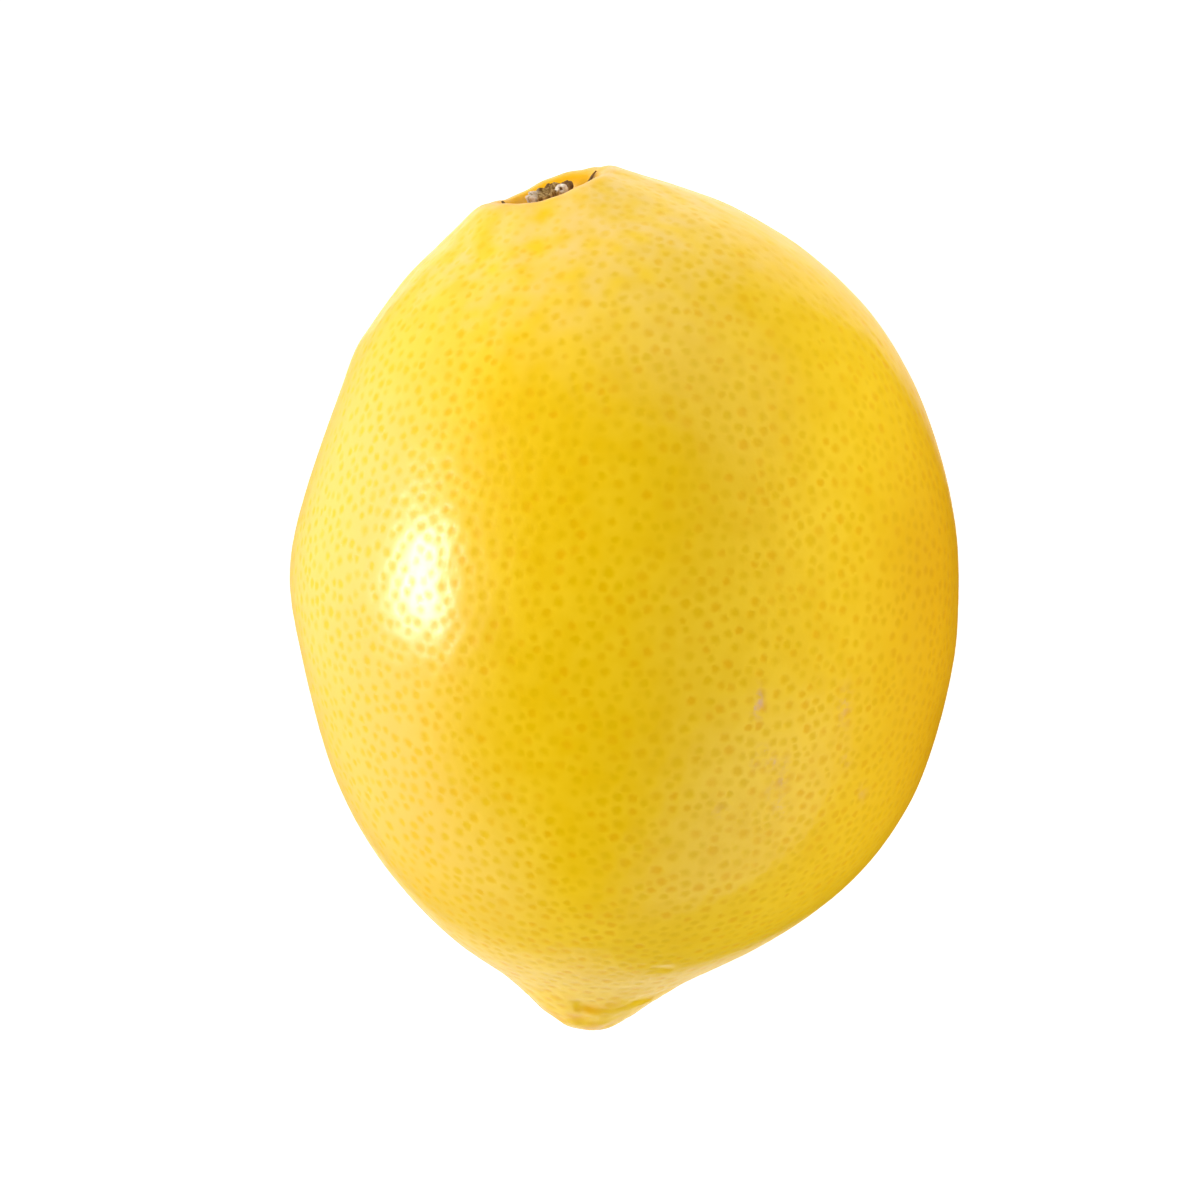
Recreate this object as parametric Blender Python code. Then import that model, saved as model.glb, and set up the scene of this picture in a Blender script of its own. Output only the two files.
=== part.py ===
"""A picked lemon lying on its side, with the dried stem button in its scar.

Metres, +Z up. The fruit's length runs along Y: the blunt nipple is at -Y and the stem end at +Y.
It rests on a small flat below its belly, at z = 0, with the middle of its box over the origin.
"""

import math

import bmesh
import bpy
import numpy as np
from mathutils import Matrix, Vector

MM = 0.001

# Driving dimensions

# The fruit as a turned shape: (distance from the nipple's tip, radius) in millimetres, from the tip
# over the belly and the collar, down into the recess that holds the stem button
OUTLINE = (
    (0.0, 0.0),
    (0.4, 2.0),
    (1.5, 3.9),
    (3.3, 6.1),
    (5.8, 9.1),
    (9.8, 15.1),
    (15.0, 21.2),
    (22.0, 26.6),
    (31.4, 30.4),
    (41.4, 32.3),
    (50.4, 32.2),
    (59.4, 30.1),
    (67.4, 26.8),
    (73.9, 22.1),
    (78.4, 16.9),
    (81.4, 11.9),
    (83.8, 7.8),
    (84.4, 6.2),
    (83.5, 5.1),
    (82.4, 4.4),
    (81.9, 3.4),
    (81.8, 0.0),
)
RINGS = 46
SPOKES = 56

# Both ends lean towards -X, and the belly a little: (middle, reach along the length, sideways lean)
LEANS = (
    (0.0, 11.4, -3.8),
    (46.5, 7.0, -0.3),
    (85.0, 15.5, -7.9),
)
STEM_TILT = math.radians(17)  # the stem end faces this much towards -X
TILT_START = 51.0
TILT_LENGTH = 33.0

# The peel swells in a few low lobes round the fruit: (lobes, share of the radius)
LOBES = (
    (2, 0.006),
    (3, 0.007),
    (5, 0.003),
)

FLAT_DEPTH = 0.45  # how far the belly is pressed in where it rests

# The stem button, on the recess's floor: a woody disc with the broken stalk in its middle
BUTTON_PROFILE = (
    (0.0, 0.0),
    (2.2, 0.0),
    (2.5, 0.5),
    (2.3, 1.1),
    (1.4, 1.3),
    (1.1, 1.7),
    (0.0, 1.8),
)
BUTTON_SPOKES = 28
GAP = 0.3

PEEL_COLOUR = (0.86, 0.58, 0.02, 1.0)
WOOD_COLOUR = (0.26, 0.17, 0.09, 1.0)


def clear_scene():
    for old in list(bpy.data.objects):
        bpy.data.objects.remove(old, do_unlink=True)


def make_material(name, colour, roughness):
    material = bpy.data.materials.new(name)
    material.use_nodes = True
    shader = material.node_tree.nodes["Principled BSDF"]
    shader.inputs["Base Color"].default_value = colour
    shader.inputs["Roughness"].default_value = roughness
    shader.inputs["Metallic"].default_value = 0.0
    return material


def smooth_outline(points, count):
    """Evenly spaced points along the natural cubic curve through the outline's points.

    Two points past each end are the outline mirrored in the axis, so the curve crosses it squarely.
    """
    inner = np.array(points)
    across = np.array((1.0, -1.0))
    knots = np.vstack((inner[2:0:-1] * across, inner, inner[-2:-4:-1] * across))
    spans = np.linalg.norm(np.diff(knots, axis=0), axis=1)
    along = np.concatenate(([0.0], np.cumsum(spans)))
    system = np.eye(len(knots))
    change = np.zeros_like(knots)
    for i in range(1, len(knots) - 1):
        system[i, i - 1 : i + 2] = (spans[i - 1], 2 * (spans[i - 1] + spans[i]), spans[i])
        slope_before = (knots[i] - knots[i - 1]) / spans[i - 1]
        slope_after = (knots[i + 1] - knots[i]) / spans[i]
        change[i] = 6 * (slope_after - slope_before)
    bend = np.linalg.solve(system, change)
    curve = []
    for distance in np.linspace(along[2], along[-3], count):
        i = min(int(np.searchsorted(along, distance, side="right")) - 1, len(knots) - 4)
        before = (along[i + 1] - distance) / spans[i]
        after = 1 - before
        straight = before * knots[i] + after * knots[i + 1]
        curved = (before**3 - before) * bend[i] + (after**3 - after) * bend[i + 1]
        curve.append(straight + curved * spans[i] ** 2 / 6)
    curve[0][1] = curve[-1][1] = 0.0
    return curve


def sideways(length):
    """How far the fruit's middle lies towards X at this distance from the nipple's tip."""
    return sum(lean * math.exp(-(((length - middle) / reach) ** 2)) for middle, reach, lean in LEANS)


def tilt(length):
    """The turn about Z of the fruit's cross-section at this distance from the nipple's tip."""
    share = min(max((length - TILT_START) / TILT_LENGTH, 0.0), 1.0)
    return STEM_TILT * share * share * (3 - 2 * share)


def swell(angle):
    return 1 + sum(share * math.sin(lobes * angle) for lobes, share in LOBES)


def on_the_fruit(length, radius, angle):
    """The point of the leaning fruit at this distance from the nipple, radius and angle round it."""
    across = radius * math.cos(angle)
    return Vector(
        (
            sideways(length) + across * math.cos(tilt(length)),
            length + across * math.sin(tilt(length)),
            radius * math.sin(angle),
        )
    )


def turned_mesh(profile, spokes):
    """A closed mesh turned about +Y from (distance along Y, radius) points, both ends on the axis."""
    shape = bmesh.new()
    points = [shape.verts.new((radius, length, 0.0)) for length, radius in profile]
    edges = [shape.edges.new(pair) for pair in zip(points, points[1:])]
    bmesh.ops.spin(
        shape,
        geom=points + edges,
        cent=(0.0, 0.0, 0.0),
        axis=(0.0, 1.0, 0.0),
        angle=2 * math.pi,
        steps=spokes,
        use_merge=True,
    )
    bmesh.ops.remove_doubles(shape, verts=shape.verts, dist=1e-6)
    bmesh.ops.recalc_face_normals(shape, faces=shape.faces)
    return shape


def make_object(shape, name, material, collection):
    mesh = bpy.data.meshes.new(name)
    shape.to_mesh(mesh)
    shape.free()
    mesh.shade_smooth()
    mesh.set_sharp_from_angle(angle=math.radians(40))
    mesh.materials.append(material)
    made = bpy.data.objects.new(name, mesh)
    collection.objects.link(made)
    return made


def make_fruit(collection):
    shape = turned_mesh(smooth_outline(OUTLINE, RINGS), SPOKES)
    for vert in shape.verts:
        angle = math.atan2(vert.co.z, vert.co.x)
        radius = math.hypot(vert.co.x, vert.co.z) * swell(angle)
        vert.co = on_the_fruit(vert.co.y, radius, angle)
    lowest = min(vert.co.z for vert in shape.verts)
    resting = Vector((0.0, 0.0, lowest + FLAT_DEPTH))
    bmesh.ops.bisect_plane(
        shape,
        geom=shape.verts[:] + shape.edges[:] + shape.faces[:],
        plane_co=resting,
        plane_no=(0.0, 0.0, -1.0),
        clear_outer=True,
    )
    rim = [edge for edge in shape.edges if edge.is_boundary]
    bmesh.ops.contextual_create(shape, geom=rim)
    bmesh.ops.recalc_face_normals(shape, faces=shape.faces)
    peel = make_material("peel", PEEL_COLOUR, 0.42)
    return make_object(shape, "lemon_fruit", peel, collection)


def make_button(collection):
    floor, _ = OUTLINE[-1]
    profile = [(height, radius) for radius, height in BUTTON_PROFILE]
    shape = turned_mesh(profile, BUTTON_SPOKES)
    seat = on_the_fruit(floor, 0.0, 0.0)
    turned = Matrix.Rotation(STEM_TILT, 4, "Z") @ Matrix.Translation((0.0, GAP, 0.0))
    shape.transform(Matrix.Translation(seat) @ turned)
    wood = make_material("dried_wood", WOOD_COLOUR, 0.85)
    return make_object(shape, "stem_button", wood, collection)


def stand_on_origin(fruit, others):
    """Moves every mesh so that the fruit's flat lies on z = 0 and its box is centred over the origin."""
    corners = np.array([vert.co for vert in fruit.data.vertices])
    low = corners.min(axis=0)
    high = corners.max(axis=0)
    middle = (low + high) / 2
    placed = Matrix.Scale(MM, 4) @ Matrix.Translation((-middle[0], -middle[1], -low[2]))
    for piece in (fruit, *others):
        piece.data.transform(placed)


clear_scene()
lemon = bpy.data.collections.new("lemon")
bpy.context.scene.collection.children.link(lemon)
fruit = make_fruit(lemon)
button = make_button(lemon)
stand_on_origin(fruit, (button,))
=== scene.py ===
"""A picked lemon lying on its side, with the dried stem button in its scar, on a pale studio table.

Metres, +Z up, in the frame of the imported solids: the blunt nipple is at -Y and the stem end at +Y.
Shapes are worked out in millimetres and scaled when they go into a mesh.
"""

import math
import random

import bpy
import numpy as np
from mathutils import Matrix, Vector, kdtree, noise


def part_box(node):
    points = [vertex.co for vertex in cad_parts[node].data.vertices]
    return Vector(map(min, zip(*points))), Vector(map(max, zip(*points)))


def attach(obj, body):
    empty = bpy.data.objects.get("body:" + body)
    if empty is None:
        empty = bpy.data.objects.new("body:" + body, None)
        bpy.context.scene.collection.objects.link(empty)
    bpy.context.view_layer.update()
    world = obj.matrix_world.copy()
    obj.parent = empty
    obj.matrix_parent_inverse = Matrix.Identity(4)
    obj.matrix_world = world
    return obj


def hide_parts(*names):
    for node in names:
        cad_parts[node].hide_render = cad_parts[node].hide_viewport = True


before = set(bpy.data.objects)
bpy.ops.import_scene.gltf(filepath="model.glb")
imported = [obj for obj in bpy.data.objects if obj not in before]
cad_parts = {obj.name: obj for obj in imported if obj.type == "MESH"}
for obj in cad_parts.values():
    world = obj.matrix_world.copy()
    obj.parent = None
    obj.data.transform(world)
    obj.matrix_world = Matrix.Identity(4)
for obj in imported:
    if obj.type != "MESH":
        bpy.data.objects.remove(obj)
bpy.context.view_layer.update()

# ---------------------------------------------------------------------------------------------------
# The peel
#
# One closed skin over the whole fruit: a turned shape that leans at both ends, swollen in low lobes,
# with a collar puckered round the scar of the stalk, a creased nipple, and a small flat it rests on.
# It starts as a cube cut into even squares, which is blown up to the fruit's own outline.

MM = 0.001

# (distance from the nipple's tip, radius), over the belly and the collar into the scar's floor
OUTLINE = (
    (0.0, 0.0),
    (0.4, 2.0),
    (1.5, 3.9),
    (3.3, 6.1),
    (5.8, 9.1),
    (9.8, 15.1),
    (15.0, 21.2),
    (22.0, 26.6),
    (31.4, 30.4),
    (41.4, 32.3),
    (50.4, 32.2),
    (59.4, 30.1),
    (67.4, 26.8),
    (73.9, 22.1),
    (78.4, 16.9),
    (81.4, 11.9),
    (83.7, 8.1),
    (84.4, 6.5),
    (84.2, 5.4),
    (83.4, 4.8),
    (82.4, 4.4),
    (81.9, 3.5),
    (81.8, 0.0),
)
# Both ends lean towards -X, and the belly a little: (middle, reach along the length, sideways lean)
LEANS = (
    (0.0, 11.4, -3.8),
    (46.5, 7.0, -0.3),
    (85.0, 15.5, -7.9),
)
STEM_TILT = math.radians(17)  # the stem end faces this much towards -X
TILT_START = 51.0
TILT_LENGTH = 33.0
# The peel swells in a few low lobes round the fruit: (lobes, share of the radius)
LOBES = (
    (2, 0.006),
    (3, 0.007),
    (5, 0.003),
)
FLAT_DEPTH = 0.45
FLAT_FADE = 4.0  # the height above the flat over which the skin's relief comes in

SQUARES = 128  # along each edge of the cube that the skin is cut from
COLLAR_WALK = 109.0  # the walk over the skin from the nipple's tip to the collar's crest
# Dents and swellings that grew in: (walk from the nipple's tip, angle round it, reach, depth)
DENTS = (
    (109.5, 92, 3.2, 0.3),
    (109.5, 236, 3.2, 0.65),
    (92.0, 0, 12.0, 0.5),
    (80.0, 180, 10.0, 0.35),
    (109.5, 150, 3.0, -0.35),
    (95.5, 180, 3.5, 0.3),
    (90.0, 180, 3.0, -0.25),
    (60.0, 180, 5.0, -0.3),
    (51.0, 180, 5.0, 0.3),
    (19.5, 72, 0.8, 0.15),
    (10.5, 38, 1.2, 0.22),
    (9.5, 52, 1.3, 0.26),
    (8.5, 95, 1.3, 0.28),
    (8.0, 0, 1.8, 0.28),
    (5.0, 100, 1.1, 0.22),
)
# Where the skin was rubbed against a branch, on the upper side:
# (X, Y, half width, half length, strength)
SCUFFS = (
    (12.3, -3.1, 0.6, 1.5, 1.0),
    (20.6, -4.6, 0.7, 2.2, 0.5),
    (20.9, -10.0, 0.5, 1.2, 0.4),
    (12.8, -8.0, 0.6, 0.8, 0.5),
    (12.1, -9.0, 0.5, 0.7, 0.4),
    (13.7, -9.2, 0.6, 0.8, 0.65),
    (15.0, -9.6, 0.5, 0.9, 0.4),
    (14.6, -11.2, 0.6, 1.0, 0.55),
    (13.6, -12.1, 0.5, 0.8, 0.4),
    (14.6, -13.8, 0.7, 1.0, 0.65),
    (8.8, -13.6, 0.8, 0.7, 0.4),
    (22.5, -14.2, 0.6, 1.0, 0.45),
)
# and deeper orange patches painted into the nipple's dents as shade, listed the same way
DENT_SHADE_PATCHES = (
    (-3.4, -39.4, 1.3, 0.7, 0.9),
    (-4.9, -40.6, 1.0, 0.6, 0.8),
    (-2.0, -39.0, 0.7, 0.5, 0.5),
)
UPPER_SIDE = 32  # skin above this height is on the upper side


def smooth_outline(points, count):
    """Evenly spaced points along the natural cubic curve through the outline's points."""
    inner = np.array(points)
    across = np.array((1.0, -1.0))
    knots = np.vstack((inner[2:0:-1] * across, inner, inner[-2:-4:-1] * across))
    spans = np.linalg.norm(np.diff(knots, axis=0), axis=1)
    along = np.concatenate(([0.0], np.cumsum(spans)))
    system = np.eye(len(knots))
    change = np.zeros_like(knots)
    for i in range(1, len(knots) - 1):
        system[i, i - 1 : i + 2] = (spans[i - 1], 2 * (spans[i - 1] + spans[i]), spans[i])
        slope_before = (knots[i] - knots[i - 1]) / spans[i - 1]
        slope_after = (knots[i + 1] - knots[i]) / spans[i]
        change[i] = 6 * (slope_after - slope_before)
    bend = np.linalg.solve(system, change)
    curve = []
    for distance in np.linspace(along[2], along[-3], count):
        i = min(int(np.searchsorted(along, distance, side="right")) - 1, len(knots) - 4)
        before = (along[i + 1] - distance) / spans[i]
        after = 1 - before
        straight = before * knots[i] + after * knots[i + 1]
        curved = (before**3 - before) * bend[i] + (after**3 - after) * bend[i + 1]
        curve.append(straight + curved * spans[i] ** 2 / 6)
    curve[0][1] = curve[-1][1] = 0.0
    return np.array(curve)


def sideways(length):
    """How far the fruit's middle lies towards X at these distances from the nipple's tip."""
    return sum(lean * np.exp(-(((length - middle) / reach) ** 2)) for middle, reach, lean in LEANS)


def tilt(length):
    """The turn about Z of the fruit's cross-section at these distances from the nipple's tip."""
    share = np.clip((length - TILT_START) / TILT_LENGTH, 0, 1)
    return STEM_TILT * share * share * (3 - 2 * share)


def swell(angle):
    return 1 + sum(share * np.sin(lobes * angle) for lobes, share in LOBES)


def on_the_fruit(length, radius, angle):
    """The points of the leaning fruit at these distances from the nipple, radii and angles."""
    across = radius * np.cos(angle)
    return np.stack(
        (
            sideways(length) + across * np.cos(tilt(length)),
            length + across * np.sin(tilt(length)),
            radius * np.sin(angle),
        ),
        axis=-1,
    )


def rise(value, start, end):
    """0 before start, 1 after end, and a smooth climb between them."""
    share = np.clip((value - start) / (end - start), 0, 1)
    return share * share * (3 - 2 * share)


def ripple(points, size, shift=0.0):
    """Smooth unevenness from about -1 to 1, with bumps of this size in millimetres."""
    return np.array([noise.noise(Vector(point / size + shift)) for point in points])


def read_points(piece):
    points = np.empty(len(piece.data.vertices) * 3, np.float32)
    piece.data.vertices.foreach_get("co", points)
    return points.reshape(-1, 3).astype(float)


def write_points(piece, points):
    piece.data.vertices.foreach_set("co", points.astype(np.float32).ravel())
    piece.data.update()


def read_normals(piece):
    normals = np.empty(len(piece.data.vertices) * 3, np.float32)
    piece.data.vertices.foreach_get("normal", normals)
    return normals.reshape(-1, 3).astype(float)


def store(piece, name, kind, domain, values):
    """Keeps one number or vector for each point or face of the piece, for its material to read."""
    attribute = piece.data.attributes.new(name, kind, domain)
    key = "vector" if kind == "FLOAT_VECTOR" else "value"
    attribute.data.foreach_set(key, np.asarray(values, np.float32).ravel())


def cut_cube(name, squares):
    """A cube of side 2 cut into this many squares along each edge, a power of two."""
    bpy.ops.object.select_all(action="DESELECT")
    bpy.ops.mesh.primitive_cube_add(size=2)
    cube = bpy.context.active_object
    cube.name = cube.data.name = name
    bpy.ops.object.mode_set(mode="EDIT")
    for _ in range(int(math.log2(squares))):
        bpy.ops.mesh.subdivide(number_cuts=1)
    bpy.ops.object.mode_set(mode="OBJECT")
    return cube


def unfold_cube(cube):
    """Lays the cube's six sides out on its map, three across and two up, each filling its place."""
    mesh = cube.data
    corners = read_points(cube)
    centres = np.array([face.center for face in mesh.polygons])
    axis = np.abs(centres).argmax(axis=1)
    sign = centres[np.arange(len(centres)), axis] > 0
    of_corner = np.array([loop.vertex_index for loop in mesh.loops])
    of_face = np.repeat(np.arange(len(mesh.polygons)), 4)
    spots = corners[of_corner]
    axis = axis[of_face]
    sign = sign[of_face]
    first = np.where(axis == 0, spots[:, 1], spots[:, 0])
    second = np.where(axis == 2, spots[:, 1], spots[:, 2])
    filled = 0.985  # the share of its place that a side fills, which leaves a narrow gap
    across = (axis + 0.5 + first * filled / 2) / 3
    up = (sign + 0.5 + second * filled / 2) / 2
    layer = mesh.uv_layers[0]
    layer.name = "OFBake"
    layer.data.foreach_set("uv", np.stack((across, up), axis=-1).astype(np.float32).ravel())


peel = cut_cube("peel", SQUARES)
unfold_cube(peel)

cube_points = np.tan(read_points(peel) * math.pi / 4)
ways = cube_points / np.linalg.norm(cube_points, axis=1)[:, None]
polar = np.arccos(np.clip(-ways[:, 1], -1, 1))
around = np.arctan2(ways[:, 2], ways[:, 0])

curve = smooth_outline(OUTLINE, 2400)
steps = np.linalg.norm(np.diff(curve, axis=0), axis=1)
walked = np.concatenate(([0.0], np.cumsum(steps)))
# The squares are laid closer at the collar and at the nipple's tip
care = 1 + 0.8 * np.exp(-(((walked - COLLAR_WALK) / 7) ** 2)) + 0.3 * np.exp(-((walked / 9) ** 2))
careful = np.concatenate(([0.0], np.cumsum(steps * (care[1:] + care[:-1]) / 2)))
walk = np.interp(polar / math.pi * careful[-1], careful, walked)
length = np.interp(walk, walked, curve[:, 0])
radius = np.interp(walk, walked, curve[:, 1]) * swell(around)
skin = on_the_fruit(length, radius, around)

# The skin is set on the solid fruit's place, sunk by the depth of its flat
low, high = (np.array(corner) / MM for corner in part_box("lemon_fruit"))
placed = (low + high) / 2 - (skin.min(axis=0) + skin.max(axis=0)) / 2
placed[2] = -(skin[:, 2].min() + FLAT_DEPTH)
skin += placed
write_points(peel, skin)
outward = read_normals(peel)

# Relief, in millimetres along the skin's own outward direction
at_collar = rise(walk, COLLAR_WALK - 26, COLLAR_WALK - 4)
in_scar = rise(walk, COLLAR_WALK - 1.0, COLLAR_WALK + 3.0)
at_nipple = 1 - rise(walk, 3, 16)
broad = 0.20 * ripple(skin, 19.0) + 0.07 * ripple(skin, 8.0, 31.0)
fine = 0.022 * (1 + 1.5 * at_collar) * ripple(skin, 2.6, 7.0)
fine += 0.02 * (1 + 4 * at_collar + at_nipple) * ripple(skin, 4.5, 3.0)
fine += 0.07 * at_nipple * ripple(skin, 1.7, 21.0)
grooves = np.sin(14 * around + 2.2 * ripple(skin, 9.0, 50.0))
puckers = 0.05 * at_collar * (1 - in_scar) * rise(radius, 2, 6) * grooves
dents = np.zeros(len(skin))
creases = -0.09 * at_nipple * np.exp(-((ripple(skin, 5.0, 12.0) / 0.09) ** 2))
for far, angle, reach, depth in DENTS:
    spot_length = np.interp(far, walked, curve[:, 0])
    spot_radius = np.interp(far, walked, curve[:, 1])
    middle = on_the_fruit(spot_length, spot_radius, np.array(math.radians(angle))) + placed
    dents -= depth * np.exp(-((np.linalg.norm(skin - middle, axis=1) / reach) ** 2))
relief = (broad * (1 - in_scar) + puckers + creases + dents) * rise(skin[:, 2], 0, FLAT_FADE)
relief += fine * (1 - 0.7 * in_scar)


# The oil glands: pits about 1 mm wide, scattered evenly but never in rows, closer at both ends

GLAND_GAP = 1.13
GLAND_DEPTH = 0.045

random.seed(11)


def finder(points):
    """A search tree that quickly gives the points near any place."""
    near = kdtree.KDTree(len(points))
    for i, point in enumerate(points):
        near.insert(point, i)
    near.balance()
    return near


def scatter(points, gaps, open_ground):
    """Picks points in a random order, each at least its own gap from those picked before it."""
    near = finder(points)
    order = list(range(len(points)))
    random.shuffle(order)
    free = open_ground.copy()
    picked = []
    for i in order:
        if free[i]:
            picked.append(i)
            for _, j, _ in near.find_range(points[i], gaps[i]):
                free[j] = False
    return picked


def nearest(points, targets):
    """For each point, the number of the nearest target and how far it is."""
    near = finder(targets)
    found = [near.find(point) for point in points]
    return np.array([i for _, i, _ in found]), np.array([distance for _, _, distance in found])


def room_round(points):
    """For each point, how far away its nearest neighbour is."""
    near = finder(points)
    return np.array([near.find_n(point, 2)[1][2] for point in points])


crowding = 1 - 0.16 * rise(walk, 93, 107) + 0.1 * at_nipple
crowding *= 1 - 0.2 * rise(skin[:, 0], 4, 20) * rise(-skin[:, 1], -8, 14)
crowding *= 1 + 0.09 * ripple(skin, 11.0, 70.0)
gaps = GLAND_GAP * crowding * np.random.default_rng(5).uniform(0.86, 1.16, len(skin))
picked = scatter(skin, gaps, walk < COLLAR_WALK - 0.5)
dice = np.random.default_rng(8)
glands = skin[picked] + dice.uniform(-0.13, 0.13, (len(picked), 3))
gland_radius = dice.uniform(0.52, 0.72, len(picked)) * (1 - 0.2 * at_collar[picked])
gland_radius = np.minimum(gland_radius, 0.52 * room_round(glands))
gland_depth = dice.uniform(0.65, 1.2, len(picked))
gland_depth *= 1 - 0.3 * at_collar[picked] - 0.2 * at_nipple[picked]
gland_warmth = dice.uniform(-1, 1, len(picked))

closest, away = nearest(skin, glands)
pit = 1 - rise(away / gland_radius[closest], 0.1, 1.25)
relief -= GLAND_DEPTH * gland_depth[closest] * pit

skin += outward * relief[:, None]
skin[:, 2] = np.maximum(skin[:, 2], 0)
write_points(peel, skin * MM)
peel.data.shade_smooth()

face_centres = np.array([face.center for face in peel.data.polygons]) / MM
closest, _ = nearest(face_centres, glands)
looks = np.stack((gland_radius * MM, gland_depth, gland_warmth), axis=-1)
store(peel, "gland_centre", "FLOAT_VECTOR", "FACE", glands[closest] * MM)
store(peel, "gland_look", "FLOAT_VECTOR", "FACE", looks[closest])

# Deeper yellow towards +X, partly painted shade of that side, and paler towards -X, painted sheen
# from the window's side, with pale mottled patches round the collar
uneven = 7 * ripple(skin, 16.0, 90.0)
deep_side_painted_shade = rise(skin[:, 0] - 0.15 * skin[:, 1] + 0.6 * uneven, 16, 36)
pale_sheen_and_collar = 0.85 * rise(-skin[:, 0] + uneven, 8, 30)
pale_collar = np.clip(0.5 + 0.7 * ripple(skin, 1.8, 60.0), 0, 1) * rise(walk, 84, 104)
pale_sheen_and_collar = np.maximum(pale_sheen_and_collar, pale_collar) * (1 - 0.7 * deep_side_painted_shade)
pale_sheen_and_collar *= 1 - rise(walk, COLLAR_WALK, COLLAR_WALK + 2)


def patches_on_top(patches):
    """The strength of these patches at each point of the fruit's upper side."""
    strongest = np.zeros(len(skin))
    for across, along, half_width, half_length, strength in patches:
        away = np.hypot((skin[:, 0] - across) / half_width, (skin[:, 1] - along) / half_length)
        there = np.exp(-away * away) * (skin[:, 2] > UPPER_SIDE)
        strongest = np.maximum(strongest, strength * there)
    return strongest


store(peel, "scuffed", "FLOAT", "POINT", patches_on_top(SCUFFS))
# Deeper orange on the nipple: painted shade in its dents, and random blotches
blotches = 0.6 * at_nipple * rise(ripple(skin, 1.8, 33.0), 0.05, 0.6)
store(peel, "orange_and_dent_shade", "FLOAT", "POINT", np.maximum(patches_on_top(DENT_SHADE_PATCHES), blotches))
# The deeper +X side is partly painted shade; the paler -X side is painted sheen, and the collar's
# pale patches share its mark
store(peel, "deep_side_painted_shade", "FLOAT", "POINT", deep_side_painted_shade)
store(peel, "pale_sheen_and_collar", "FLOAT", "POINT", pale_sheen_and_collar)
store(peel, "scar", "FLOAT", "POINT", rise(walk, COLLAR_WALK - 1.5, COLLAR_WALK + 2.0))
store(peel, "cork", "FLOAT", "POINT", rise(walk, COLLAR_WALK + 2.5, COLLAR_WALK + 5.5))


# The peel's finish: waxy lemon yellow, paler between the glands, with small rubbed marks

SKIN_PALE, SKIN_DEEP = (0.96, 0.622, 0.012, 1), (0.90, 0.553, 0.0, 1)
# The deeper +X side, partly painted shade, and the paler -X side, painted sheen
SKIN_DEEP_SIDE_SHADE, SKIN_PALE_SHEEN = (0.74, 0.38, 0.0, 1), (0.94, 0.64, 0.17, 1)
GLAND_GREEN, GLAND_WARM = (0.85, 0.52, 0.0, 1), (0.87, 0.48, 0.0, 1)
# The glands on those two sides, with the same painted shade and painted sheen
GLAND_DEEP_SIDE_SHADE, GLAND_PALE_SHEEN = (0.66, 0.315, 0.0, 1), (0.90, 0.575, 0.05, 1)
# Deeper orange for the nipple's blotches and for the painted shade in its dents
ORANGE_AND_DENT_SHADE = (0.90, 0.45, 0.0, 1)
SCUFF_THIN, SCUFF_HEALED = (0.78, 0.41, 0.08, 1), (0.70, 0.40, 0.28, 1)
SCAR_WALL = (0.88, 0.42, 0.0, 1)
CORK_DARK, CORK_PALE = (0.20, 0.105, 0.04, 1), (0.46, 0.31, 0.15, 1)


def add_node(tree, kind, **settings):
    node = tree.nodes.new(kind)
    for name, value in settings.items():
        setattr(node, name, value)
    return node


def feed(tree, socket, value):
    """Links an output into the socket, or sets the socket to a plain value."""
    if isinstance(value, bpy.types.NodeSocket):
        tree.links.new(value, socket)
    else:
        socket.default_value = value


def maths(tree, operation, *values, clamp=False):
    node = add_node(tree, "ShaderNodeMath", operation=operation, use_clamp=clamp)
    for socket, value in zip(node.inputs, values):
        feed(tree, socket, value)
    return node.outputs[0]


def smooth_range(tree, value, start, end, low=0.0, high=1.0):
    """low before start, high after end, and a smooth climb between them."""
    node = add_node(tree, "ShaderNodeMapRange", interpolation_type="SMOOTHSTEP")
    for name, setting in (
        ("Value", value),
        ("From Min", start),
        ("From Max", end),
        ("To Min", low),
        ("To Max", high),
    ):
        feed(tree, node.inputs[name], setting)
    return node.outputs["Result"]


def cloud(tree, where, size, detail=2.0, shift=0.0):
    """Soft noise around 0.5 with patches of this size in millimetres."""
    moved = add_node(tree, "ShaderNodeVectorMath", operation="ADD")
    feed(tree, moved.inputs[0], where)
    feed(tree, moved.inputs[1], (17.3 * shift * MM, 11.9 * shift * MM, 0))
    node = add_node(tree, "ShaderNodeTexNoise")
    feed(tree, node.inputs["Vector"], moved.outputs["Vector"])
    feed(tree, node.inputs["Scale"], 1 / (size * MM))
    feed(tree, node.inputs["Detail"], detail)
    return node.outputs["Fac"]


def blend(tree, share, first, second):
    """The first colour where the share is 0 and the second where it is 1."""
    node = add_node(tree, "ShaderNodeMix", data_type="RGBA")
    feed(tree, node.inputs[0], share)
    feed(tree, node.inputs[6], first)
    feed(tree, node.inputs[7], second)
    return node.outputs[2]


def read_mark(tree, name, vector=False):
    node = add_node(tree, "ShaderNodeAttribute", attribute_name=name)
    return node.outputs["Vector" if vector else "Fac"]


def add_bump(tree, height, depth, normal=None):
    """Relief of this depth in millimetres from a height between 0 and 1."""
    node = add_node(tree, "ShaderNodeBump")
    feed(tree, node.inputs["Height"], height)
    feed(tree, node.inputs["Distance"], depth * MM)
    if normal is not None:
        feed(tree, node.inputs["Normal"], normal)
    return node.outputs["Normal"]


def new_material(name):
    material = bpy.data.materials.new(name)
    material.use_nodes = True
    return material.node_tree, material


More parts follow.
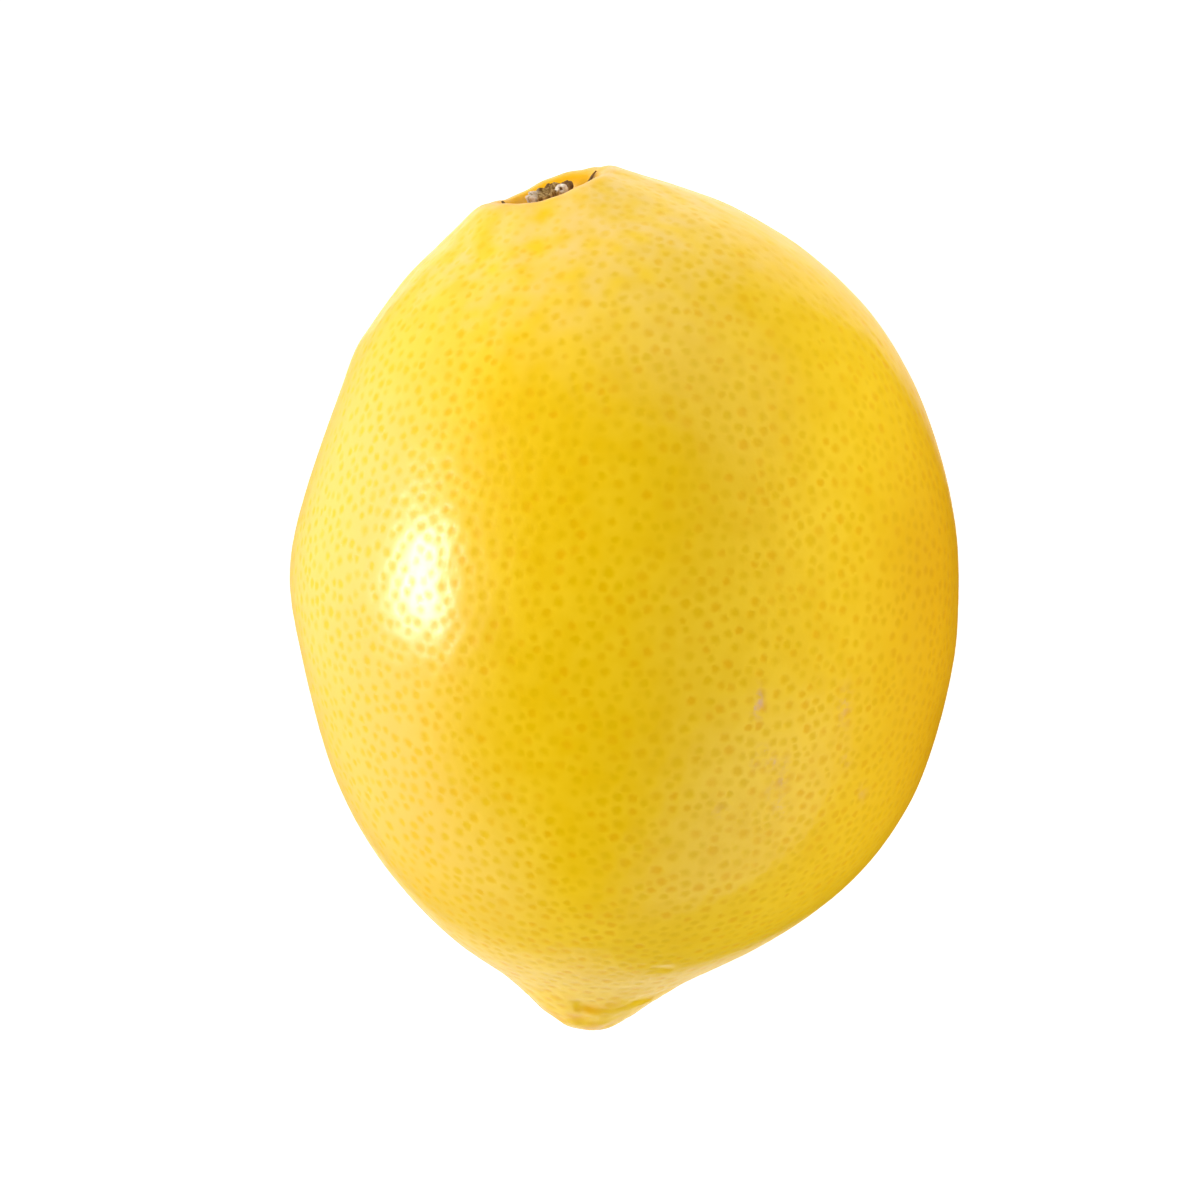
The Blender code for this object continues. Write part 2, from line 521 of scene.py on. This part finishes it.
def new_mottle():
    """A group that gives the blotches of cork and dry wood, from 0 to 1."""
    group = bpy.data.node_groups.new("dry_mottle", "ShaderNodeTree")
    group.interface.new_socket("Where", in_out="INPUT", socket_type="NodeSocketVector")
    group.interface.new_socket("Mottle", in_out="OUTPUT", socket_type="NodeSocketFloat")
    where = add_node(group, "NodeGroupInput").outputs["Where"]
    mottle = smooth_range(group, cloud(group, where, 0.5, 3.0, 5.0), 0.38, 0.66)
    feed(group, add_node(group, "NodeGroupOutput").inputs["Mottle"], mottle)
    return group


dry_mottle = new_mottle()


def add_mottle(tree, where):
    node = add_node(tree, "ShaderNodeGroup", node_tree=dry_mottle)
    feed(tree, node.inputs["Where"], where)
    return node.outputs["Mottle"]


def finish_peel():
    tree, material = new_material("waxy_peel")
    shader = tree.nodes["Principled BSDF"]
    where = add_node(tree, "ShaderNodeTexCoord").outputs["Object"]

    # Each gland: a soft round spot, a little uneven at its edge
    wobble = add_node(tree, "ShaderNodeTexNoise")
    feed(tree, wobble.inputs["Vector"], where)
    feed(tree, wobble.inputs["Scale"], 1 / (0.7 * MM))
    shake = add_node(tree, "ShaderNodeVectorMath", operation="MULTIPLY_ADD")
    feed(tree, shake.inputs[0], wobble.outputs["Color"])
    feed(tree, shake.inputs[1], (0.5 * MM,) * 3)
    feed(tree, shake.inputs[2], where)
    shifted = add_node(tree, "ShaderNodeVectorMath", operation="SUBTRACT")
    feed(tree, shifted.inputs[0], shake.outputs["Vector"])
    feed(tree, shifted.inputs[1], (0.25 * MM,) * 3)
    apart = add_node(tree, "ShaderNodeVectorMath", operation="DISTANCE")
    feed(tree, apart.inputs[0], shifted.outputs["Vector"])
    feed(tree, apart.inputs[1], read_mark(tree, "gland_centre", vector=True))
    look = add_node(tree, "ShaderNodeSeparateXYZ")
    feed(tree, look.inputs[0], read_mark(tree, "gland_look", vector=True))
    spread = maths(tree, "DIVIDE", apart.outputs["Value"], look.outputs["X"])
    spot = smooth_range(tree, spread, 0.2, 1.2, 1.0, 0.0)
    spot_strength = maths(tree, "MULTIPLY", spot, look.outputs["Y"], clamp=True)

    # The skin between them, in broad patches of paler and deeper yellow
    broad_patches = smooth_range(tree, cloud(tree, where, 14.0, 3.0), 0.38, 0.64)
    small_patches = smooth_range(tree, cloud(tree, where, 2.4, 2.0, 4.0), 0.35, 0.7)
    patches = maths(
        tree, "MULTIPLY_ADD", small_patches, 0.45, maths(tree, "MULTIPLY", broad_patches, 0.55)
    )
    deep_side_shade_here = read_mark(tree, "deep_side_painted_shade")
    pale_sheen_here = read_mark(tree, "pale_sheen_and_collar")
    colour = blend(tree, patches, SKIN_PALE, SKIN_DEEP)
    # Deeper towards +X, partly painted shade, and paler towards -X, painted sheen
    colour = blend(tree, deep_side_shade_here, colour, SKIN_DEEP_SIDE_SHADE)
    colour = blend(tree, pale_sheen_here, colour, SKIN_PALE_SHEEN)
    warmth = smooth_range(tree, look.outputs["Z"], -0.2, 0.9)
    spot_colour = blend(tree, warmth, GLAND_GREEN, GLAND_WARM)
    # The glands take the same painted shade and painted sheen
    spot_colour = blend(tree, deep_side_shade_here, spot_colour, GLAND_DEEP_SIDE_SHADE)
    spot_colour = blend(tree, pale_sheen_here, spot_colour, GLAND_PALE_SHEEN)
    colour = blend(tree, spot_strength, colour, spot_colour)
    # Deeper orange on the nipple, partly painted shade in its dents
    colour = blend(tree, read_mark(tree, "orange_and_dent_shade"), colour, ORANGE_AND_DENT_SHADE)

    # Rubbed marks, thin at their edges and healed pale in the middle
    streaky = smooth_range(tree, cloud(tree, where, 0.9, 2.0, 6.0), 0.38, 0.6, 0.1, 0.9)
    scuffed = read_mark(tree, "scuffed")
    healed = smooth_range(tree, scuffed, 0.3, 0.7)
    scuff_colour = blend(tree, healed, SCUFF_THIN, SCUFF_HEALED)
    colour = blend(tree, maths(tree, "MULTIPLY", scuffed, streaky), colour, scuff_colour)

    # The scar's deep yellow wall and the brown cork on its floor
    scar = read_mark(tree, "scar")
    colour = blend(tree, maths(tree, "MULTIPLY", scar, 0.85), colour, SCAR_WALL)
    ragged = cloud(tree, where, 0.8, 4.0, 9.0)
    cork_edge = maths(tree, "MULTIPLY_ADD", ragged, 0.7, read_mark(tree, "cork"))
    corky = smooth_range(tree, cork_edge, 0.62, 0.82)
    cork_colour = blend(tree, add_mottle(tree, where), CORK_DARK, CORK_PALE)
    colour = blend(tree, corky, colour, cork_colour)
    feed(tree, shader.inputs["Base Color"], colour)

    # A thin coat of wax, weaker on the glands and on the deeper +X side of painted shade, and none
    # on the cork
    skin_roughness = smooth_range(tree, broad_patches, 0.0, 1.0, 0.36, 0.42)
    roughness = maths(tree, "MULTIPLY_ADD", corky, 0.35, skin_roughness)
    feed(tree, shader.inputs["Roughness"], roughness)
    shader.inputs["Specular IOR Level"].default_value = 0.04
    wax = maths(tree, "MULTIPLY_ADD", spot_strength, -0.24, 0.46)
    dull = maths(tree, "MAXIMUM", corky, maths(tree, "MULTIPLY", deep_side_shade_here, 0.5))
    wax = maths(tree, "MULTIPLY", wax, maths(tree, "SUBTRACT", 1.0, dull))
    feed(tree, shader.inputs["Coat Weight"], wax)
    shader.inputs["Coat Roughness"].default_value = 0.22

    grain = maths(tree, "SUBTRACT", cloud(tree, where, 0.35, 2.0, 1.0), spot_strength)
    feed(tree, shader.inputs["Normal"], add_bump(tree, grain, 0.015))
    return material


peel.data.materials.append(finish_peel())
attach(peel, "root")
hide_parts("lemon_fruit")

# ---------------------------------------------------------------------------------------------------
# The stem button
#
# The dried end of the stalk: a short woody stub snapped off across its fibres, on a thicker ring
# that has let go of the peel, with five dry sepals still pressed against the wall of the scar.
# The stub is drawn up ring by ring from a disc; the pith stands out of its break as a pale knob.

SCAR_FLOOR = OUTLINE[-1][0]  # how far from the nipple's tip the scar's floor is
FLOOR_CENTRE = on_the_fruit(np.array(SCAR_FLOOR), np.array(0.0), np.array(0.0)) + placed
STUB_OFFSET = (0.6, 0.0, 0.0)
STUB_SIDES = 96
STUB_RINGS = 40
# (radius, height above the scar's floor), up the outside, over the torn rim and down to the pith
STUB_PROFILE = (
    (2.9, 0.0),
    (3.0, 0.25),
    (2.75, 0.5),
    (2.35, 0.7),
    (2.2, 1.1),
    (2.25, 1.7),
    (2.35, 2.15),
    (2.2, 2.35),
    (1.9, 2.35),
    (1.65, 2.0),
    (1.2, 1.75),
    (0.2, 1.75),
)
KNOB_RADIUS = 0.62
KNOB_PLACE = (1.2, -1.5, 2.1)
PORE_WAY = Vector((0.05, -0.95, 0.35)).normalized()


def draw_up_rings(name, sides, profile, count):
    """A closed turned shape along +Z, each ring extruded from the one before and resized."""
    points = np.array(profile)
    along = np.concatenate(([0.0], np.cumsum(np.linalg.norm(np.diff(points, axis=0), axis=1))))
    places = np.linspace(0, along[-1], count)
    radii = np.interp(places, along, points[:, 0])
    heights = np.interp(places, along, points[:, 1])
    bpy.ops.object.select_all(action="DESELECT")
    bpy.ops.mesh.primitive_circle_add(
        vertices=sides, radius=radii[0], fill_type="TRIFAN", location=(0, 0, heights[0])
    )
    turned = bpy.context.active_object
    turned.name = turned.data.name = name
    bpy.ops.object.transform_apply(location=True)
    bpy.ops.object.mode_set(mode="EDIT")
    bpy.ops.mesh.select_all(action="SELECT")
    for i in range(1, count):
        climb = heights[i] - heights[i - 1]
        bpy.ops.mesh.extrude_region_move(TRANSFORM_OT_translate={"value": (0, 0, climb)})
        share = radii[i] / radii[i - 1]
        bpy.ops.transform.resize(
            value=(share, share, 1), center_override=(0, 0, heights[i])
        )
    bpy.ops.mesh.merge(type="CENTER")
    bpy.ops.mesh.select_all(action="SELECT")
    bpy.ops.mesh.normals_make_consistent(inside=False)
    bpy.ops.object.mode_set(mode="OBJECT")
    return turned


stub = draw_up_rings("stem_stub", STUB_SIDES, STUB_PROFILE, STUB_RINGS)
wood = read_points(stub)
turn = np.arctan2(wood[:, 1], wood[:, 0])
out = np.hypot(wood[:, 0], wood[:, 1])
rim = rise(wood[:, 2], 0.6, 2.5) * rise(out, 0.9, 1.9)
ring_points = np.stack((np.cos(turn), np.sin(turn), np.zeros(len(turn))), axis=-1)
torn = 0.22 * ripple(ring_points, 0.35, 4.0) + 0.14 * ripple(ring_points, 0.09, 8.0)
torn -= 0.2 * np.exp(-(((turn + 1.75) / 0.5) ** 2))  # lowest on the side away from the fruit's top
fibres = 0.1 * ripple(ring_points * 2.2 + wood * (0, 0, 0.12), 0.16) * rise(wood[:, 2], 0.1, 0.8)
pitted = 0.14 * ripple(wood, 0.35, 2.0) * rise(wood[:, 2], 0.5, 1.5)
wood[:, 2] += rim * torn + pitted * rise(out, 0.0, 0.5)
wood[:, :2] *= (1 + (fibres + pitted) * rise(out, 0.5, 2.0) / np.maximum(out, 1.0))[:, None]
wood[:, 2] = np.maximum(wood[:, 2], 0.0)
write_points(stub, wood)

bpy.ops.object.select_all(action="DESELECT")
bpy.ops.mesh.primitive_uv_sphere_add(
    segments=32, ring_count=20, radius=KNOB_RADIUS, location=KNOB_PLACE
)
knob = bpy.context.active_object
bpy.ops.object.transform_apply(location=True)
pith = read_points(knob) - KNOB_PLACE
facing = (pith / np.linalg.norm(pith, axis=1)[:, None]) @ np.array(PORE_WAY)
bumps = 0.2 * ripple(pith, 0.55, 6.0) + 0.08 * ripple(pith, 0.2, 3.0)
pith *= (1 + bumps - 0.3 * rise(facing, 0.88, 1.0))[:, None]
pith[:, 2] *= 0.9
write_points(knob, pith + KNOB_PLACE)

fuse = stub.modifiers.new("fuse", "BOOLEAN")
fuse.operation = "UNION"
fuse.solver = "EXACT"
fuse.object = knob
bpy.ops.object.select_all(action="DESELECT")
bpy.context.view_layer.objects.active = stub
stub.select_set(True)
bpy.ops.object.modifier_apply(modifier="fuse")
bpy.data.objects.remove(knob)

wood = read_points(stub)
from_knob = wood - KNOB_PLACE
knob_away = np.linalg.norm(from_knob, axis=1)
on_knob = 1 - rise(knob_away, KNOB_RADIUS * 1.05, KNOB_RADIUS * 1.2)
pore = on_knob * rise((from_knob / knob_away[:, None]) @ np.array(PORE_WAY), 0.93, 0.98)
turn = np.arctan2(wood[:, 1], wood[:, 0])
out = np.hypot(wood[:, 0], wood[:, 1])
bark = rise(-np.cos(turn), 0.45, 0.8) * rise(wood[:, 2], 0.9, 1.6) * rise(out, 1.5, 1.9)
bark *= 0.7 + 0.8 * ripple(wood, 0.6, 9.0)
pale = np.clip(np.maximum(0.9 * on_knob, 0.8 * bark), 0, 1) * (1 - pore)
# Dark on the pore, and on the stub's +X side away from the window as painted shade
dark_and_shade = np.maximum(pore, rise(np.cos(turn), 0.6, 0.95) * (1 - on_knob))
store(stub, "grain_place", "FLOAT_VECTOR", "POINT", wood * (1, 1, 0.15) * MM)
store(stub, "pale", "FLOAT", "POINT", pale)
store(stub, "dark_and_shade", "FLOAT", "POINT", dark_and_shade)

# The stub is turned to stand out of the scar along the leaning stem end
stem_turn = np.array(
    (
        (math.cos(STEM_TILT), math.sin(STEM_TILT), 0),
        (0, 0, -1),
        (-math.sin(STEM_TILT), math.cos(STEM_TILT), 0),
    )
)
write_points(stub, ((wood + STUB_OFFSET) @ stem_turn + FLOOR_CENTRE) * MM)
stub.data.shade_smooth()


# The sepals: thin dry points, one flat wedge bent against the wall five times over
SEPAL_THICKNESS = 0.26
SEPAL_LIFT = 0.05
SEPAL_START = 2.3  # from the scar's middle
SEPAL_CUTS = 15  # along each edge of the wedge
# (angle round the stalk, length over the skin, half the width at the foot, degrees it curls round)
SEPALS = (
    (-33, 4.3, 0.9, 18),
    (62, 3.0, 0.95, -5),
    (128, 2.9, 1.0, 6),
    (206, 4.0, 0.85, -4),
    (268, 3.9, 1.8, 3),
)


def lay_sepal(number, angle, reach, half_width, curl_round):
    """Bends the flat wedge onto the scar's floor and wall at this angle."""
    bpy.ops.object.select_all(action="DESELECT")
    bpy.ops.mesh.primitive_cube_add(size=2)
    sepal = bpy.context.active_object
    sepal.name = sepal.data.name = f"sepal_{number}"
    bpy.ops.object.mode_set(mode="EDIT")
    bpy.ops.mesh.select_all(action="SELECT")
    bpy.ops.mesh.subdivide(number_cuts=SEPAL_CUTS)
    bpy.ops.object.mode_set(mode="OBJECT")
    flat = read_points(sepal)
    along = (flat[:, 0] + 1) / 2
    edge = 1 + 0.3 * ripple(flat * (1, 0.2, 0), 0.35, 5.0 * number)
    wide = half_width * edge * (1.02 - along) ** 0.75 * (0.7 + 0.6 * along)
    curl = 0.1 * along**3 + 0.06 * ripple(flat * (1, 1, 0), 0.6, 3.0 * number) * along
    height = SEPAL_LIFT + curl + SEPAL_THICKNESS * (flat[:, 2] + 1) / 2 * (1.1 - 0.8 * along)
    skin_walk = walked[-1] - (SEPAL_START + reach * along)
    skin_length = np.interp(skin_walk, walked, curve[:, 0])
    skin_radius = np.interp(skin_walk, walked, curve[:, 1])
    step = 0.05
    slope_length = (np.interp(skin_walk + step, walked, curve[:, 0]) - skin_length) / step
    slope_radius = (np.interp(skin_walk + step, walked, curve[:, 1]) - skin_radius) / step
    angles = np.radians(angle + curl_round * along**2) + flat[:, 1] * wide / skin_radius
    bent = on_the_fruit(
        skin_length - slope_radius * height,
        (skin_radius + slope_length * height) * swell(angles),
        angles,
    )
    store(sepal, "grain_place", "FLOAT_VECTOR", "POINT", flat * (0.35, 1.0, 0.2) * MM)
    store(sepal, "pale", "FLOAT", "POINT", np.zeros(len(flat)))
    store(sepal, "dark_and_shade", "FLOAT", "POINT", 0.45 + 0.35 * along)
    write_points(sepal, (bent + placed) * MM)
    bpy.ops.object.mode_set(mode="EDIT")
    bpy.ops.mesh.select_all(action="SELECT")
    bpy.ops.mesh.normals_make_consistent(inside=False)
    bpy.ops.object.mode_set(mode="OBJECT")
    sepal.data.shade_smooth()
    return sepal


sepals = [lay_sepal(i + 1, *sepal) for i, sepal in enumerate(SEPALS)]


# Dry wood: brown fibres with dark cracks between them, grey where the bark is left, cream pith, and
# dark brown on the pore, on the sepals' tips and, as painted shade, on the stub's side away from the
# window

WOOD_DARK, WOOD_GOLDEN = (0.13, 0.062, 0.008, 1), (0.58, 0.37, 0.13, 1)
WOOD_BLOTCH = (0.28, 0.15, 0.035, 1)
BARK_GREY, PITH_CREAM = (0.74, 0.58, 0.46, 1), (0.95, 0.89, 0.76, 1)
# Dark brown for the pore and the sepals' tips, and painted shade on the stub's far side
WOOD_DARK_AND_SHADE = (0.12, 0.045, 0.008, 1)


def finish_wood():
    tree, material = new_material("dry_stalk")
    shader = tree.nodes["Principled BSDF"]
    where = add_node(tree, "ShaderNodeTexCoord").outputs["Object"]
    along_fibres = read_mark(tree, "grain_place", vector=True)
    streaks = smooth_range(tree, cloud(tree, along_fibres, 0.28, 3.0, 2.0), 0.36, 0.66)
    mottle = add_mottle(tree, where)
    colour = blend(tree, streaks, WOOD_DARK, WOOD_GOLDEN)
    colour = blend(tree, maths(tree, "MULTIPLY", mottle, 0.5), colour, WOOD_BLOTCH)
    colour = blend(tree, read_mark(tree, "pale"), colour, blend(tree, mottle, BARK_GREY, PITH_CREAM))
    # Dark brown on the pore and sepal tips, and painted shade on the stub's side away from the
    # window
    darkening = maths(tree, "MULTIPLY", read_mark(tree, "dark_and_shade"), 0.85)
    colour = blend(tree, darkening, colour, WOOD_DARK_AND_SHADE)
    feed(tree, shader.inputs["Base Color"], colour)
    shader.inputs["Roughness"].default_value = 0.75
    shader.inputs["Specular IOR Level"].default_value = 0.15
    normal = add_bump(tree, streaks, 0.05)
    normal = add_bump(tree, cloud(tree, where, 0.2, 2.0, 7.0), 0.03, normal)
    feed(tree, shader.inputs["Normal"], normal)
    return material


dry_stalk = finish_wood()
for piece in (stub, *sepals):
    piece.data.materials.append(dry_stalk)
    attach(piece, "root")
    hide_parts("stem_button")

# ---------------------------------------------------------------------------------------------------
# The studio
#
# A pale table in a pale tent, with one bright soft window of light on the left and dim broad ones
# around. Directions are in degrees: azimuth 0 is +X and 90 is +Y.

FRUIT_MIDDLE = Vector((0, 0, 0.032))


def direction(azimuth, elevation):
    turn, lift = math.radians(azimuth), math.radians(elevation)
    return Vector((math.cos(turn) * math.cos(lift), math.sin(turn) * math.cos(lift), math.sin(lift)))


def add_panel(name, azimuth, elevation, distance, width, height, watts):
    """A soft light panel that faces the fruit from this direction."""
    data = bpy.data.lights.new(name, "AREA")
    data.shape = "RECTANGLE"
    data.size = width
    data.size_y = height
    data.energy = watts
    panel = bpy.data.objects.new(name, data)
    bpy.context.scene.collection.objects.link(panel)
    towards = direction(azimuth, elevation)
    panel.matrix_world = Matrix.Translation(FRUIT_MIDDLE + towards * distance) @ (
        towards.to_track_quat("Z", "Y").to_matrix().to_4x4()
    )
    panel.visible_camera = False
    return panel


# The window, whose brightest part only shows in the wax
add_panel("window", 179.0, 17.5, 0.6, 0.32, 0.2, 2.6)
window_middle = add_panel("window_middle", 178.0, 19.5, 0.59, 0.2, 0.12, 2.9)
window_middle.visible_diffuse = False
# A weak fill on the right, which lights the skin and doesn't show in the wax
fill = add_panel("fill", 350.0, 32.0, 0.8, 0.5, 0.4, 0.75)
fill.visible_glossy = False

# The table is one pale sheet. Away from the fruit it is as white as the tent, so
# there it only throws light back and the tent shows in its place
TABLE_SHOWN_RADIUS = 0.056
FAR_TABLE_DROP = 0.0005
bpy.ops.object.select_all(action="DESELECT")
bpy.ops.mesh.primitive_circle_add(vertices=96, radius=TABLE_SHOWN_RADIUS, fill_type="NGON")
table = bpy.context.active_object
table.name = "table"
bpy.ops.object.select_all(action="DESELECT")
bpy.ops.mesh.primitive_plane_add(size=30, location=(0, 0, -FAR_TABLE_DROP))
far_table = bpy.context.active_object
far_table.name = "far_table"
far_table.visible_camera = False
tree, material = new_material("pale_table")
shader = tree.nodes["Principled BSDF"]
shader.inputs["Base Color"].default_value = (0.86, 0.86, 0.855, 1)
shader.inputs["Roughness"].default_value = 0.9
shader.inputs["Specular IOR Level"].default_value = 0.1
shader.inputs["Emission Color"].default_value = (0.9, 0.93, 1.0, 1)
looked_at = add_node(tree, "ShaderNodeLightPath").outputs["Is Camera Ray"]
glow = smooth_range(tree, looked_at, 0, 1, 0.4, 0.52)
feed(tree, shader.inputs["Emission Strength"], glow)
table.data.materials.append(material)
far_table.data.materials.append(material)

# Cards lying just over the table on both sides, which only reflections see
CARD_SIDE = 2.0
CARD_LIFT = 0.001


def add_card(name, cloth, azimuth, distance, glow):
    """A card whose middle is this far out in this direction, and that shines this much itself."""
    bpy.ops.object.select_all(action="DESELECT")
    bpy.ops.mesh.primitive_plane_add(
        size=CARD_SIDE,
        location=direction(azimuth, 0) * distance + Vector((0, 0, CARD_LIFT)),
        rotation=(0, 0, math.radians(azimuth)),
    )
    card = bpy.context.active_object
    card.name = name
    tree, material = new_material(cloth)
    shader = tree.nodes["Principled BSDF"]
    shader.inputs["Base Color"].default_value = (0.0, 0.0, 0.0, 1)
    shader.inputs["Specular IOR Level"].default_value = 0.0
    shader.inputs["Emission Color"].default_value = (1, 1, 1, 1)
    shader.inputs["Emission Strength"].default_value = glow
    card.data.materials.append(material)
    card.visible_camera = card.visible_diffuse = card.visible_shadow = False


add_card("dark_card", "black_velvet", -18, 1.037, 0.0)  # keeps the fruit's right edge deep
add_card("bright_card", "bright_card", 180, 1.035, 0.15)  # lays a broad sheen on its left

# The tent round the fruit glows softly in broad patches, and looks plain and pale itself:
# (azimuth, height, reach to the end of the soft edge, strength)
GLOWS = (
    (180, 3, 45, 1.45),
    (150, 15, 36, 0.35),
    (90, 18, 36, 1.4),
    (60, 20, 36, 1.3),
    (35, 24, 36, 0.5),
    (345, 40, 55, 0.65),
    (302, 14, 42, 2.1),
)
TENT_WHITE = 1.1


def light_tent(glows):
    world = bpy.data.worlds.new("tent")
    bpy.context.scene.world = world
    world.use_nodes = True
    tree = world.node_tree
    way = add_node(tree, "ShaderNodeTexCoord").outputs["Generated"]
    total = 0.0
    for azimuth, height, reach, strength in glows:
        facing = add_node(tree, "ShaderNodeVectorMath", operation="DOT_PRODUCT")
        feed(tree, facing.inputs[0], way)
        feed(tree, facing.inputs[1], direction(azimuth, height))
        edge = math.cos(math.radians(reach))
        bright = math.cos(math.radians(reach / 4))
        glow = smooth_range(tree, facing.outputs["Value"], edge, bright, 0.0, strength)
        total = maths(tree, "ADD", total, glow)
    looked_at = add_node(tree, "ShaderNodeLightPath").outputs["Is Camera Ray"]
    lit = add_node(tree, "ShaderNodeMix", data_type="FLOAT")
    feed(tree, lit.inputs[0], looked_at)
    feed(tree, lit.inputs[2], total)
    feed(tree, lit.inputs[3], TENT_WHITE)
    world.cycles.sampling_method = "MANUAL"
    world.cycles.sample_map_resolution = 256
    background = tree.nodes["Background"]
    background.inputs["Color"].default_value = (1, 1, 1, 1)
    feed(tree, background.inputs["Strength"], lit.outputs[0])


light_tent(GLOWS)

# The camera looks down on the fruit, with the nipple at the bottom of its view
CAMERA_TILT = math.radians(12)  # off straight down, towards the stem end
CAMERA_DISTANCE = 0.6
VIEW_WIDTH = 0.117647  # how much is seen across at the fruit's middle
SENSOR = 36.0
AIM_ASIDE = -0.00245  # the view's middle from the fruit's
AIM_UP = 0.00039

lens = bpy.data.cameras.new("camera")
lens.sensor_width = SENSOR
lens.lens = SENSOR * CAMERA_DISTANCE / VIEW_WIDTH
camera = bpy.data.objects.new("camera", lens)
bpy.context.scene.collection.objects.link(camera)
back = Vector((0, math.sin(CAMERA_TILT), math.cos(CAMERA_TILT)))
up = Vector((0, math.cos(CAMERA_TILT), -math.sin(CAMERA_TILT)))
right = Vector((1, 0, 0))
aim = FRUIT_MIDDLE + right * AIM_ASIDE + up * AIM_UP
camera.matrix_world = Matrix.Translation(aim + back * CAMERA_DISTANCE) @ Matrix(
    (right, up, back)
).transposed().to_4x4()
bpy.context.scene.camera = camera
bpy.context.scene.view_settings.view_transform = "Standard"
